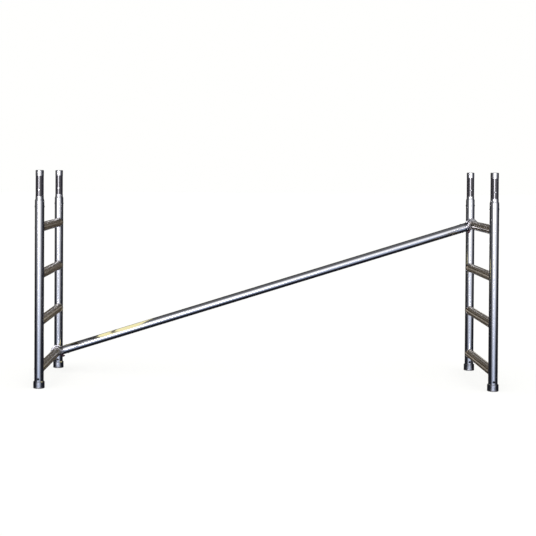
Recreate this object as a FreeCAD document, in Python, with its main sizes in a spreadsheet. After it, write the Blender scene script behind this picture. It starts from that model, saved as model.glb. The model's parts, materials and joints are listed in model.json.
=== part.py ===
import FreeCAD, Part
import math
import os
import re

import Sketcher
from FreeCAD import Placement, Rotation, Vector

# Ladder-frame access tower section: two identical four-rung end frames with spigots, held at
# their distance by one diagonal brace whose cast claws clip round a rung at each end.
# Origin: on the floor, midway between the frames and between their uprights.
# +X runs along the bay to the right frame, +Y to the uprights that the brace is beside, +Z up.
# Millimetres and degrees.

RUNGS = 4

sizes = {
    # frames
    "bay_length": 2438.4,  # between the two frames' middle planes
    "frame_width": 685.8,  # between the axes of a frame's uprights
    "upright_height": 1016.0,  # foot to shoulder
    "rung_first": 101.6,  # floor to the lowest rung's axis
    "rung_pitch": 254.0,
    # tubes
    "tube_od": 50.8,
    "upright_wall": 3.4,
    "socket_wall": 2.9,  # where the upright's lower end is sized to take a spigot
    "socket_depth": 165.0,
    "shoulder_taper": 2.4,
    "shoulder_height": 8.0,
    "rung_wall": 2.5,
    "rib_count": 20,
    "rib_groove": 0.9,
    "rib_groove_width": 4.2,
    "rib_plain_end": 18.0,
    "weld_size": 3.4,
    "weld_gap": 0.15,
    # foot collars
    "collar_wall": 5.1,
    "collar_height": 38.0,
    "collar_taper": 3.0,
    "collar_round": 3.5,
    # spigots and their black sleeves
    "spigot_gap": 0.3,  # to the socket of the section above
    "spigot_seat_gap": 0.1,  # to the upright that it is riveted into
    "spigot_wall": 4.6,
    "spigot_inset": 105.0,
    "spigot_reach": 156.0,
    "spigot_lip": 4.0,
    "sleeve_base": 15.0,
    "sleeve_length": 110.0,
    "sleeve_wall": 1.4,
    "sleeve_sink": 0.4,
    "sleeve_gap": 0.05,
    # snap buttons
    "button_up": 50.8,  # above the shoulder, and the lock hole above the foot
    "button_radius": 5.5,
    "button_gap": 0.2,
    "button_proud": 5.5,
    "button_round": 3.0,
    "button_flange": 1.6,
    "button_flange_step": 1.6,
    "button_tail": 2.0,
    "button_rest_gap": 0.3,
    "lock_gap": 0.8,
    "clip_width": 9.0,
    "clip_strip": 1.2,
    "clip_drop": 62.0,
    "clip_rise": 7.0,
    "clip_bend": 5.5,
    # rivets
    "rivet_radius": 2.4,
    "rivet_gap": 0.1,
    "rivet_head": 4.6,
    "rivet_crown": 2.8,  # the head's flat top
    "rivet_head_height": 1.8,
    "rivet_shank": 9.0,
    "rivet_down": 40.0,  # below the shoulder
    # brace and its claws
    "brace_wall": 2.9,
    "brace_end_gap": 0.3,
    "claw_gap": 0.8,
    "claw_wall": 6.8,
    "claw_width": 62.0,
    "claw_from_upright": 8.6,
    "claw_flange": 5.2,
    "claw_flange_width": 12.0,
    "claw_groove": 2.2,
    "claw_groove_width": 4.0,
    "claw_edge": 1.6,
    "claw_arm": 12.0,
    "claw_neck": 20.6,
    "claw_mouth_depth": 40.0,
    "plug_gap": 0.3,
    "plug_wall": 5.0,
    "plug_length": 42.0,
    "plug_chamfer": 2.0,
    "brace_rivet_in": 20.0,
    # triggers
    "trigger_width": 14.0,
    "trigger_gap": 0.4,
    "pivot_out": 11.6,  # from the rung's surface, along the brace
    "pivot_in": 14.4,  # from the brace's lower surface, upwards
    "pin_radius": 3.0,
    "pin_seat_gap": 0.05,
    "pin_run_gap": 0.08,
    "pin_end": 0.5,
    "boss_radius": 6.5,
    "nose_gap": 1.4,
    "nose_low": 52.0,  # degrees below the brace's axis
    "nose_high": 36.0,
    "nose_root": 7.9,
    "crest_back": 3.2,  # the lever's back over its boss
    "crest_up": 5.6,
    "heel_out": 5.8,
    "heel_down": 2.2,
    "finger_neck": 4.2,
    "finger_clear": 1.8,
    "finger_out": 3.2,  # the finger's far side, from the pivot
    "finger_out_down": 7.6,  # below the brace's surface
    "finger_end_out": 1.2,
    "finger_end_down": 11.6,
    "finger_tip_in": 3.0,
    "finger_drop": 13.6,
    "finger_grip_in": 9.6,
    "finger_grip_down": 12.2,
    "finger_hook_in": 13.4,
    "finger_hook_down": 5.4,
    "spring_wire": 0.6,
    "spring_turns": 3,
    "spring_pitch": 1.5,
    "spring_gap": 0.7,
    "spring_pocket": 6.4,
}

doc = FreeCAD.newDocument("tower_section")
sheet = doc.addObject("Spreadsheet::Sheet", "sizes")
for row, (alias, value) in enumerate(sizes.items(), 1):
    sheet.set(f"A{row}", alias)
    sheet.set(f"B{row}", str(value))
    sheet.setAlias(f"B{row}", alias)
doc.recompute()

parts = []


def bound(text):
    """An expression in the sheet's aliases, as another object of the document writes it."""
    return re.sub(r"[a-z][a-z_]+", lambda word: "sizes." + word[0] if word[0] in sizes else word[0], text)


def number(text):
    value = sheet.evalExpression(text)
    return float(getattr(value, "Value", value))


def drive(thing, prop, text):
    thing.setExpression(prop, bound(text))


def place(thing, x="0", y="0", z="0", turn=None, about=Vector(0, 0, 1)):
    """Bind a sub-part's place, and its turn about an axis, to the sheet."""
    thing.Placement = Placement(Vector(), Rotation(about, 10.0 if turn else 0.0))
    for axis, text in zip("xyz", (x, y, z)):
        drive(thing, f"Placement.Base.{axis}", text)
    if turn:
        drive(thing, "Placement.Rotation.Angle", turn)


def sub_part(thing, label):
    thing.Label = label
    parts.append(thing)
    return thing


def new_body(label):
    return sub_part(doc.addObject("PartDesign::Body", label), label)


def sketch_on(body, role, name):
    sketch = body.newObject("Sketcher::SketchObject", name)
    plane = next(o for o in body.Origin.OriginFeatures if o.Role == role)
    sketch.AttachmentSupport = [(plane, "")]
    sketch.MapMode = "FlatFace"
    return sketch


def tie(sketch, kind, where, text):
    """Constrain a sketch point's distance from the origin, bound to the sheet."""
    index = sketch.addConstraint(Sketcher.Constraint(kind, -1, 1, *where, number(text)))
    drive(sketch, f"Constraints[{index}]", text)


def outline(body, role, name, corners):
    """A closed outline through corners (x, y). A third item on a corner is the centre of the
    arc to the next one, with the way round it turns and the coordinate that fixes it."""
    sketch = sketch_on(body, role, name)
    spots = [Vector(number(c[0]), number(c[1]), 0) for c in corners]
    starts = []
    for i, corner in enumerate(corners):
        here, there = spots[i], spots[(i + 1) % len(spots)]
        if len(corner) == 2:
            edge = sketch.addGeometry(Part.LineSegment(here, there))
            starts.append((edge, 1, 2))
            continue
        centre_x, centre_y, left_turn = corner[2]
        centre = Vector(number(centre_x), number(centre_y), 0)
        radius = (here - centre).Length
        circle = Part.Circle(centre, Vector(0, 0, 1), radius)
        first, last = (here, there) if left_turn else (there, here)
        arc = Part.ArcOfCircle(circle, circle.parameter(first), circle.parameter(last))
        edge = sketch.addGeometry(arc)
        tie(sketch, "DistanceY", (edge, 3), centre_y)
        starts.append((edge, 1, 2) if left_turn else (edge, 2, 1))
    for i, corner in enumerate(corners):
        edge, start, _ = starts[i]
        before, _, end = starts[i - 1]
        sketch.addConstraint(Sketcher.Constraint("Coincident", before, end, edge, start))
        tie(sketch, "DistanceX", (edge, start), corner[0])
        tie(sketch, "DistanceY", (edge, start), corner[1])
    return sketch


def discs(body, role, name, rings):
    """Circles (x, y, radius) in one sketch."""
    sketch = sketch_on(body, role, name)
    for x, y, radius in rings:
        spot = Vector(number(x), number(y), 0)
        ring = sketch.addGeometry(Part.Circle(spot, Vector(0, 0, 1), number(radius)))
        tie(sketch, "DistanceX", (ring, 3), x)
        tie(sketch, "DistanceY", (ring, 3), y)
        index = sketch.addConstraint(Sketcher.Constraint("Radius", ring, number(radius)))
        drive(sketch, f"Constraints[{index}]", radius)
    return sketch


def revolve(body, sketch, axis, name):
    turned = body.newObject("PartDesign::Revolution", name)
    turned.Profile = sketch
    turned.ReferenceAxis = (sketch, [axis])
    turned.Angle = 360
    return turned


def pad(body, sketch, name, length):
    """Material on both sides of the sketch's plane, length thick in all."""
    grown = body.newObject("PartDesign::Pad", name)
    grown.Profile = sketch
    grown.SideType = "Symmetric"
    drive(grown, "Length", length)
    return grown


def cut(body, sketch, name, length=None):
    """Cut both ways from the sketch's plane, right through unless a length is given."""
    before = body.Shape.Volume
    hole = body.newObject("PartDesign::Pocket", name)
    hole.Profile = sketch
    hole.SideType = "Symmetric"
    if length:
        drive(hole, "Length", length)
    else:
        hole.Type = "ThroughAll"
    doc.recompute()
    if not body.Shape.Volume < before - 0.1:
        raise RuntimeError(f"{name} cuts nothing")
    return hole


def round_edges(body, name, radius, wanted):
    """Fillet the edges of the body's tip for which wanted(edge) holds."""
    doc.recompute()
    tip = body.Tip
    edges = [f"Edge{i}" for i, edge in enumerate(tip.Shape.Edges, 1) if wanted(edge)]
    if not edges:
        raise RuntimeError(f"{name} finds no edge")
    fillet = body.newObject("PartDesign::Fillet", name)
    fillet.Base = (tip, edges)
    drive(fillet, "Radius", radius)
    return fillet


def is_ring(edge, radius, axis, at):
    """Whether an edge is a whole circle of this radius, across the axis at this coordinate."""
    curve = edge.Curve
    if not isinstance(curve, Part.Circle) or len(edge.Vertexes) != 1:
        return False
    return abs(curve.Radius - radius) < 0.01 and abs(getattr(curve.Center, axis) - at) < 0.01


tube_r = "tube_od / 2"
bore_r = "(tube_od / 2 - upright_wall)"
socket_r = "(tube_od / 2 - socket_wall)"
spigot_r = "(tube_od / 2 - socket_wall - spigot_gap)"
spigot_seat_r = "(tube_od / 2 - upright_wall - spigot_seat_gap)"
spigot_bore_r = "(tube_od / 2 - upright_wall - spigot_wall)"
sleeve_r = "(tube_od / 2 - socket_wall - spigot_gap - sleeve_sink)"
sleeve_top = "(sleeve_base + sleeve_length)"
lock_r = "button_radius + lock_gap"


# ---- end frames ----


def upright(label, x, y):
    body = new_body(label)
    wall = outline(body, "XZ_Plane", label + "_wall", [
        (socket_r, "0"),
        (tube_r, "0"),
        (tube_r, "upright_height - shoulder_height"),
        (f"{tube_r} - shoulder_taper", "upright_height"),
        (bore_r, "upright_height"),
        (bore_r, "socket_depth"),
        (socket_r, "socket_depth"),
    ])
    revolve(body, wall, "V_Axis", label + "_tube")
    doc.recompute()
    lock = discs(body, "XZ_Plane", label + "_lock", [("0", "button_up", lock_r)])
    cut(body, lock, label + "_lock_holes")
    rivet = discs(body, "YZ_Plane", label + "_rivet", [
        ("0", "upright_height - rivet_down", "rivet_radius + rivet_gap"),
    ])
    cut(body, rivet, label + "_rivet_holes")
    place(body, x, y)


def rung(label, x, z):
    body = new_body(label)
    wall = outline(body, "YZ_Plane", label + "_wall", [
        ("-frame_width / 2", f"{tube_r} - rung_wall"),
        ("frame_width / 2", f"{tube_r} - rung_wall"),
        ("frame_width / 2", tube_r),
        ("-frame_width / 2", tube_r),
    ])
    revolve(body, wall, "H_Axis", label + "_tube")
    doc.recompute()
    grooved = f"frame_width - 2 * ({tube_r} + rib_plain_end)"
    groove = discs(body, "XZ_Plane", label + "_groove", [
        ("0", f"{tube_r} + rib_groove_width / 2 - rib_groove", "rib_groove_width / 2"),
    ])
    first = cut(body, groove, label + "_first_groove", grooved)
    around = body.newObject("PartDesign::PolarPattern", label + "_ribs")
    around.Originals = [first]
    around.Axis = (next(o for o in body.Origin.OriginFeatures if o.Role == "Y_Axis"), [""])
    around.Angle = 360
    drive(around, "Occurrences", "rib_count")
    body.Tip = around
    doc.recompute()
    saddle = discs(body, "XY_Plane", label + "_saddle", [
        ("0", "frame_width / 2", tube_r),
        ("0", "-frame_width / 2", tube_r),
    ])
    cut(body, saddle, label + "_saddles")
    place(body, x, "0", z)


def weld_bead(end):
    """The bead along one saddle joint, in the rung's frame: an upper and a lower half, each
    following the half ellipse in which two equal tubes meet."""
    radius = number(tube_r)
    bare_r = radius + number("weld_gap")
    corner = Vector(0, end * number("frame_width / 2"), 0)
    room = 8 * radius
    past_quarter = math.pi / 2 + 0.03  # a little past each half's ends, trimmed off by the slab
    post = Part.makeCylinder(bare_r, room, corner - Vector(0, 0, room / 2))
    bar = Part.makeCylinder(bare_r, 2 * abs(corner.y), -corner, Vector(0, end, 0))
    halves = []
    for side in (-1, 1):
        deepest = corner + Vector(0, -end, side) * radius
        ellipse = Part.Ellipse(deepest, corner + Vector(radius, 0, 0), corner)
        path = ellipse.toShape(-past_quarter, past_quarter)
        start = path.valueAt(path.FirstParameter)
        rim = Part.makeCircle(number("weld_size"), start, path.tangentAt(path.FirstParameter))
        strand = Part.Wire(path).makePipeShell([Part.Wire(rim)], True, True)
        slab = Part.makeBox(room, room, room, corner - Vector(room / 2, room / 2, room * (side < 0)))
        halves += strand.cut(post).cut(bar).common(slab).Solids
    return halves


def rung_welds(label, x):
    welds = sub_part(doc.addObject("Part::Feature", label), label)
    beads = []
    for i in range(RUNGS):
        lift = number(f"rung_first + {i} * rung_pitch")
        for bead in weld_bead(-1) + weld_bead(1):
            bead.translate(Vector(0, 0, lift))
            beads.append(bead)
    welds.Shape = Part.makeCompound(beads)
    place(welds, x)


def foot_collar(label, x, y):
    body = new_body(label)
    inner = f"{tube_r} + sleeve_gap"
    outer = f"{tube_r} + collar_wall"
    ring = outline(body, "XZ_Plane", label + "_section", [
        (inner, "0"),
        (outer, "0"),
        (outer, "collar_height - collar_taper"),
        (f"{outer} - collar_taper", "collar_height"),
        (inner, "collar_height"),
    ])
    revolve(body, ring, "V_Axis", label + "_ring")
    radius = number(outer)
    round_edges(body, label + "_round", "collar_round", lambda e: is_ring(e, radius, "z", 0))
    place(body, x, y)


def spigot(label, x, y):
    body = new_body(label)
    neck_r = f"{sleeve_r} - sleeve_wall - sleeve_gap"
    wall = outline(body, "XZ_Plane", label + "_wall", [
        (spigot_bore_r, "-spigot_inset"),
        (spigot_seat_r, "-spigot_inset"),
        (spigot_seat_r, "0"),
        (spigot_r, "0"),
        (spigot_r, "sleeve_base"),
        (neck_r, "sleeve_base"),
        (neck_r, sleeve_top),
        (spigot_r, sleeve_top),
        (spigot_r, "spigot_reach"),
        (spigot_bore_r, "spigot_reach"),
    ])
    revolve(body, wall, "V_Axis", label + "_tube")
    radius = number(spigot_r)
    top = number("spigot_reach")
    round_edges(body, label + "_lead", "spigot_lip", lambda e: is_ring(e, radius, "z", top))
    doc.recompute()
    hole = discs(body, "XZ_Plane", label + "_button", [("0", "button_up", "button_radius + button_gap")])
    cut(body, hole, label + "_button_holes")
    rivet = discs(body, "YZ_Plane", label + "_rivet", [("0", "-rivet_down", "rivet_radius + rivet_gap")])
    cut(body, rivet, label + "_rivet_holes")
    place(body, x, y, "upright_height")


def spigot_sleeve(label, x, y):
    body = new_body(label)
    wall = outline(body, "XZ_Plane", label + "_wall", [
        (f"{sleeve_r} - sleeve_wall", "sleeve_base + sleeve_gap"),
        (sleeve_r, "sleeve_base + sleeve_gap"),
        (sleeve_r, f"{sleeve_top} - sleeve_gap"),
        (f"{sleeve_r} - sleeve_wall", f"{sleeve_top} - sleeve_gap"),
    ])
    revolve(body, wall, "V_Axis", label + "_tube")
    doc.recompute()
    hole = discs(body, "XZ_Plane", label + "_button", [("0", "button_up", "button_radius + button_gap")])
    cut(body, hole, label + "_button_holes")
    place(body, x, y, "upright_height")


# where the button's flange rests inside the spigot, from the spigot's axis
flange_rim = "(button_radius + button_flange_step)"
flange_face = f"(sqrt({spigot_bore_r} ^ 2 - {flange_rim} ^ 2) - 2 * button_gap)"
button_back = f"({flange_face} - button_flange - button_tail)"


def snap_button(label, x, y, side):
    """A flanged round-nosed pin, standing out of the spigot towards side along Y."""
    body = new_body(label)
    sign = "-" if side < 0 else ""
    nose = f"{sleeve_r} + button_proud"
    half = outline(body, "YZ_Plane", label + "_section", [
        (f"{sign}{button_back}", "0"),
        (f"{sign}{button_back}", "button_radius"),
        (f"{sign}({button_back} + button_tail)", "button_radius"),
        (f"{sign}({button_back} + button_tail)", "button_radius + button_flange_step"),
        (f"{sign}({button_back} + button_tail + button_flange)", "button_radius + button_flange_step"),
        (f"{sign}({button_back} + button_tail + button_flange)", "button_radius"),
        (f"{sign}({nose})", "button_radius"),
        (f"{sign}({nose})", "0"),
    ])
    revolve(body, half, "H_Axis", label + "_pin")
    radius = number("button_radius")
    tip = side * number(nose)
    round_edges(body, label + "_nose", "button_round", lambda e: is_ring(e, radius, "y", tip))
    place(body, x, y, "upright_height + button_up")


def snap_clip(label, x, y):
    """The bent strip inside a spigot that pushes both its buttons out."""
    body = new_body(label)
    leg = f"({button_back} - button_rest_gap)"
    bend = "clip_bend"
    strip = outline(body, "YZ_Plane", label + "_strip", [
        (leg, "clip_rise"),
        (f"{leg} - clip_strip", "clip_rise"),
        (f"{bend} - clip_strip", "-clip_drop", ("0", "-clip_drop", False)),
        (f"-({bend} - clip_strip)", "-clip_drop"),
        (f"-({leg} - clip_strip)", "clip_rise"),
        (f"-{leg}", "clip_rise"),
        (f"-{bend}", "-clip_drop", ("0", "-clip_drop", True)),
        (bend, "-clip_drop"),
    ])
    pad(body, strip, label + "_bent", "clip_width")
    place(body, x, y, "upright_height + button_up")


def rivet_group(label, sites):
    """Blind rivets at sites (x, y, z, turn, about); each one points along its own +Z."""
    rivets = []
    for i, (x, y, z, turn, about) in enumerate(sites):
        shank = doc.addObject("Part::Cylinder", f"{label}_shank_{i}")
        drive(shank, "Radius", "rivet_radius")
        drive(shank, "Height", "rivet_shank")
        drive(shank, "Placement.Base.z", "-rivet_shank")
        head = doc.addObject("Part::Cone", f"{label}_head_{i}")
        drive(head, "Radius1", "rivet_head")
        drive(head, "Radius2", "rivet_crown")
        drive(head, "Height", "rivet_head_height")
        whole = doc.addObject("Part::Fuse", f"{label}_rivet_{i}")
        whole.Base = shank
        whole.Tool = head
        place(whole, x, y, z, turn, about)
        rivets.append(whole)
    group = sub_part(doc.addObject("Part::Compound", label), label)
    group.Links = rivets


def end_frame(side, x):
    for name, y in (("near", "-frame_width / 2"), ("far", "frame_width / 2")):
        upright(f"{side}_upright_{name}", x, y)
        foot_collar(f"{side}_foot_collar_{name}", x, y)
        spigot(f"{side}_spigot_{name}", x, y)
        spigot_sleeve(f"{side}_spigot_sleeve_{name}", x, y)
        snap_clip(f"{side}_snap_spring_{name}", x, y)
        snap_button(f"{side}_snap_button_{name}_front", x, y, -1)
        snap_button(f"{side}_snap_button_{name}_back", x, y, 1)
    for i in range(RUNGS):
        rung(f"{side}_rung_{i + 1}", x, f"rung_first + {i} * rung_pitch")
    rung_welds(f"{side}_rung_welds", x)
    height = "upright_height - rivet_down"
    rivet_group(f"{side}_spigot_rivets", [
        (f"{x} + {face} * {tube_r}", y, height, f"{face} * 90", Vector(0, 1, 0))
        for y in ("-frame_width / 2", "frame_width / 2")
        for face in (-1, 1)
    ])


# ---- diagonal brace ----
# Its pieces are drawn with X along the brace, from the axis of the left frame's lowest rung.

brace_rise = f"({RUNGS - 1} * rung_pitch)"
brace_span = f"sqrt(bay_length ^ 2 + {brace_rise} ^ 2)"
brace_slope = f"atan2({brace_rise}; bay_length)"
brace_y = f"(frame_width / 2 - {tube_r} - claw_from_upright - claw_width / 2)"
claw_bore_r = f"({tube_r} + claw_gap)"
claw_r = f"({tube_r} + claw_wall + claw_gap)"
neck_end = f"({tube_r} + claw_neck)"
plug_r = f"({tube_r} - brace_wall - plug_gap)"
pivot_x = f"({tube_r} + pivot_out)"
pivot_z = f"(pivot_in - {tube_r})"
pocket_half = "(trigger_width / 2 + trigger_gap)"


def place_at_end(thing, end):
    """Put a brace piece at the claw's rung: end 1 is the low one, -1 the high one."""
    if end > 0:
        place(thing, "-bay_length / 2", brace_y, "rung_first", brace_slope, Vector(0, -1, 0))
    else:
        high = f"rung_first + {brace_rise}"
        place(thing, "bay_length / 2", brace_y, high, brace_slope, Vector(0, -1, 0))


def mirrored(corners, end):
    return corners if end > 0 else [(f"-({x})", y) for x, y in corners]


def claw(label, end):
    """The casting round the rung, with the neck and the plug that the brace's tube slides on."""
    body = new_body(label)
    flange_r = f"({claw_r} + claw_flange)"
    half = "claw_width / 2"
    groove_y = f"({half} - claw_flange_width)"
    ring = outline(body, "YZ_Plane", label + "_ring_section", [
        (f"-{half}", "0"),
        (f"-{half}", f"{claw_r} - claw_edge"),
        (f"claw_edge - {half}", claw_r),
        (f"{groove_y} - claw_groove_width", claw_r),
        (f"{groove_y} - claw_groove_width / 2", f"{claw_r} - claw_groove"),
        (groove_y, f"{claw_r} - claw_groove"),
        (groove_y, f"{flange_r} - claw_edge"),
        (f"{groove_y} + claw_edge", flange_r),
        (f"{half} - claw_edge", flange_r),
        (half, f"{flange_r} - claw_edge"),
        (half, "0"),
    ])
    revolve(body, ring, "H_Axis", label + "_ring")
    stem = outline(body, "XZ_Plane", label + "_stem_section", mirrored([
        ("0", "0"),
        ("0", tube_r),
        (f"{neck_end} - claw_edge", tube_r),
        (neck_end, f"{tube_r} - claw_edge"),
        (neck_end, plug_r),
        (f"{neck_end} + plug_length - plug_chamfer", plug_r),
        (f"{neck_end} + plug_length", f"{plug_r} - plug_chamfer"),
        (f"{neck_end} + plug_length", f"{plug_r} - plug_wall"),
        (f"{neck_end} + plug_wall", f"{plug_r} - plug_wall"),
        (f"{neck_end} + plug_wall", "0"),
    ], end))
    revolve(body, stem, "H_Axis", label + "_stem")
    doc.recompute()
    cut(body, discs(body, "XZ_Plane", label + "_bore", [("0", "0", claw_bore_r)]), label + "_rung_bore")
    outside = f"{flange_r} + claw_mouth_depth"
    mouth = outline(body, "XZ_Plane", label + "_mouth", mirrored([
        (claw_bore_r, "0"),
        (claw_bore_r, f"-({outside})"),
        (f"-({outside})", f"-({outside})"),
        (f"-({outside})", "-claw_arm"),
        (f"-{claw_bore_r}", "-claw_arm"),
        (f"-{claw_bore_r}", "0"),
    ], end))
    cut(body, mouth, label + "_open_mouth")
    slot_end = f"{pivot_x} + boss_radius + trigger_gap"
    slot_top = f"{pivot_z} + boss_radius + trigger_gap"
    slot = outline(body, "XZ_Plane", label + "_slot", mirrored([
        ("tube_od / 4", slot_top),
        ("tube_od / 4", "-tube_od"),
        (slot_end, "-tube_od"),
        (slot_end, slot_top),
    ], end))
    cut(body, slot, label + "_trigger_slot", f"2 * {pocket_half}")
    pivot = pivot_x if end > 0 else f"-{pivot_x}"
    pin_hole = discs(body, "XZ_Plane", label + "_pin", [(pivot, pivot_z, "pin_radius + pin_seat_gap")])
    cut(body, pin_hole, label + "_pin_hole")
    rivet_x = f"{'' if end > 0 else '-'}({neck_end} + brace_rivet_in)"
    rivets = discs(body, "XY_Plane", label + "_rivet", [(rivet_x, "0", "rivet_radius + rivet_gap")])
    cut(body, rivets, label + "_rivet_holes")
    place_at_end(body, end)


def trigger(label, end):
    """The lever that closes the claw's mouth: nose under the rung, boss on the pin, finger below."""
    body = new_body(label)
    nose_r = f"({tube_r} + nose_gap)"
    lever = outline(body, "XZ_Plane", label + "_side", mirrored([
        (f"{nose_r} * cos(nose_low)", f"-{nose_r} * sin(nose_low)"),
        (f"{nose_r} * cos(nose_high)", f"-{nose_r} * sin(nose_high)"),
        (f"{pivot_x} - crest_back", f"{pivot_z} + crest_up"),
        (f"{pivot_x} + heel_out", f"{pivot_z} - heel_down"),
        (f"{pivot_x} - finger_neck", f"-{tube_r} - finger_clear"),
        (f"{pivot_x} + finger_out", f"-{tube_r} - finger_out_down"),
        (f"{pivot_x} + finger_end_out", f"-{tube_r} - finger_end_down"),
        (f"{pivot_x} - finger_tip_in", f"-{tube_r} - finger_drop"),
        (f"{pivot_x} - finger_grip_in", f"-{tube_r} - finger_grip_down"),
        (f"{pivot_x} - finger_hook_in", f"-{tube_r} - finger_hook_down"),
        (f"{tube_r} - nose_root", f"-{tube_r} - finger_clear"),
    ], end))
    pad(body, lever, label + "_lever", "trigger_width")
    pivot = pivot_x if end > 0 else f"-{pivot_x}"
    boss = discs(body, "XZ_Plane", label + "_boss_outline", [(pivot, pivot_z, "boss_radius")])
    pad(body, boss, label + "_boss", "trigger_width")
    doc.recompute()
    hole = discs(body, "XZ_Plane", label + "_pin", [(pivot, pivot_z, "pin_radius + pin_run_gap")])
    cut(body, hole, label + "_pin_hole")
    pocket = discs(body, "XZ_Plane", label + "_spring", [(pivot, pivot_z, "boss_radius + trigger_gap")])
    cut(body, pocket, label + "_spring_pocket", "spring_pocket")
    place_at_end(body, end)


def trigger_pin(label, end):
    body = new_body(label)
    length = f"2 * sqrt(tube_od ^ 2 / 4 - {pivot_z} ^ 2) - 2 * pin_end"
    pivot = pivot_x if end > 0 else f"-{pivot_x}"
    pin = discs(body, "XZ_Plane", label + "_section", [(pivot, pivot_z, "pin_radius")])
    pad(body, pin, label + "_rod", length)
    place_at_end(body, end)


def trigger_spring(label, end):
    """A coil round the pin, in the pocket in the middle of the trigger."""
    pitch = number("spring_pitch")
    turns = number("spring_turns")
    radius = number("pin_radius + spring_gap + spring_wire")
    helix = Part.makeHelix(pitch, pitch * turns, radius)
    start = Vector(radius, 0, 0)
    rim = Part.Wire(Part.makeCircle(number("spring_wire"), start, Vector(0, radius, pitch / (2 * math.pi))))
    coil = Part.Wire(helix).makePipeShell([rim], True, True)
    coil.translate(Vector(0, 0, -pitch * turns / 2))
    coil.rotate(Vector(), Vector(1, 0, 0), 90)
    coil.translate(Vector(end * number(pivot_x), 0, number(pivot_z)))
    spring = sub_part(doc.addObject("Part::Feature", label), label)
    spring.Shape = Part.makeCompound([coil])
    place_at_end(spring, end)


def brace_tube(label):
    body = new_body(label)
    start = f"({neck_end} + brace_end_gap)"
    stop = f"{brace_span} - {start}"
    wall = outline(body, "XZ_Plane", label + "_wall", [
        (start, f"{tube_r} - brace_wall"),
        (stop, f"{tube_r} - brace_wall"),
        (stop, tube_r),
        (start, tube_r),
    ])
    revolve(body, wall, "H_Axis", label + "_tube")
    doc.recompute()
    inset = f"({neck_end} + brace_rivet_in)"
    rivets = discs(body, "XY_Plane", label + "_rivet", [
        (inset, "0", "rivet_radius + rivet_gap"),
        (f"{brace_span} - {inset}", "0", "rivet_radius + rivet_gap"),
    ])
    cut(body, rivets, label + "_rivet_holes")
    place_at_end(body, 1)


def brace():
    brace_tube("brace_tube")
    for name, end in (("low", 1), ("high", -1)):
        claw(f"brace_claw_{name}", end)
        trigger(f"trigger_{name}", end)
        trigger_pin(f"trigger_pin_{name}", end)
        trigger_spring(f"trigger_spring_{name}", end)
    inset = f"({neck_end} + brace_rivet_in)"
    run, rise = f"(bay_length / {brace_span})", f"({brace_rise} / {brace_span})"
    sites = []
    for base, base_z, out in (
        ("-bay_length / 2", "rung_first", 1),
        ("bay_length / 2", f"rung_first + {brace_rise}", -1),
    ):
        for face in (-1, 1):
            x = f"{base} + {out} * {inset} * {run} - {face} * {tube_r} * {rise}"
            z = f"{base_z} + {out} * {inset} * {rise} + {face} * {tube_r} * {run}"
            sites.append((x, brace_y, z, f"{90 - 90 * face} deg + {brace_slope}", Vector(0, -1, 0)))
    rivet_group("brace_rivets", sites)


end_frame("left", "-bay_length / 2")
end_frame("right", "bay_length / 2")
brace()
doc.recompute()

for thing in doc.Objects:
    if "Invalid" in thing.State or "Error" in thing.State:
        raise RuntimeError(f"{thing.Label} failed: {thing.State}")

os.makedirs("parts", exist_ok=True)
for thing in parts:
    shape = thing.Shape
    if shape.isNull() or not shape.isValid() or not shape.Solids:
        raise RuntimeError(f"{thing.Label} is not a valid solid")
    shape.exportStep(f"parts/{thing.Label}.step")
print(f"{len(parts)} sub-parts, {sum(len(p.Shape.Solids) for p in parts)} solids")
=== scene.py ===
import json
import math

import bpy
from mathutils import Matrix, Vector


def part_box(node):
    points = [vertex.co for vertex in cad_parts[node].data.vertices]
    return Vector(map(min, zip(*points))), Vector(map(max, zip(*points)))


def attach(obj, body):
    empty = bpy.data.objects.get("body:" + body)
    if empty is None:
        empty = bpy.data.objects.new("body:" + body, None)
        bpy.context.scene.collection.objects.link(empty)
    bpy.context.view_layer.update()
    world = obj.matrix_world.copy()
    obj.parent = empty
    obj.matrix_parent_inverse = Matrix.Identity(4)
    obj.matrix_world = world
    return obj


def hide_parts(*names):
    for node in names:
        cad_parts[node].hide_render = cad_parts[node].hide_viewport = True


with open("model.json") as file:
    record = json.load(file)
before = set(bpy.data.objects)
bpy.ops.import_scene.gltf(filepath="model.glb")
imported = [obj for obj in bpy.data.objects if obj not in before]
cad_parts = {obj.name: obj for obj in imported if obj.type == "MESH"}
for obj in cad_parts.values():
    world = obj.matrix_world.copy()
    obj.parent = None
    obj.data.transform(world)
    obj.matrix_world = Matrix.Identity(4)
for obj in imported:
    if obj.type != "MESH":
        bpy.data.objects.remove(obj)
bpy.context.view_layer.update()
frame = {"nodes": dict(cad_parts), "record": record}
print("frame loaded:", len(frame["nodes"]), "nodes")


def middle(box):
    return (box[0] + box[1]) / 2


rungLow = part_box("left_rung_1")
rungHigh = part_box("right_rung_4")
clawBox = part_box("brace_claw_low")
tubeRadius = (rungLow[1].x - rungLow[0].x) / 2
braceMiddle = middle(clawBox).y
clawHalf = (clawBox[1].y - clawBox[0].y) / 2
span = middle(rungHigh) - middle(rungLow)
slope = math.degrees(math.atan2(span.z, span.x))


cameraValues = {
    "eye": (-0.131, -6.815, 1.168),
    "yaw": 0.224,  # degrees
    "pitch": -0.815,
    "roll": -0.347,
    "lens": 81.09,
    "shiftX": 0.0563,
    "shiftY": -0.1472,
}

floorValues = {
    "radius": 60.0,
    "edges": 96,
    "colour": (0.2, 0.2, 0.197),
    "glow": 0.8,
    "roughness": 0.7,
}

fillSun = {
    "energy": 3.05,
    "spread": 110.0,  # degrees, for very soft shadows
    "tilt": 14.0,
}

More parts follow.
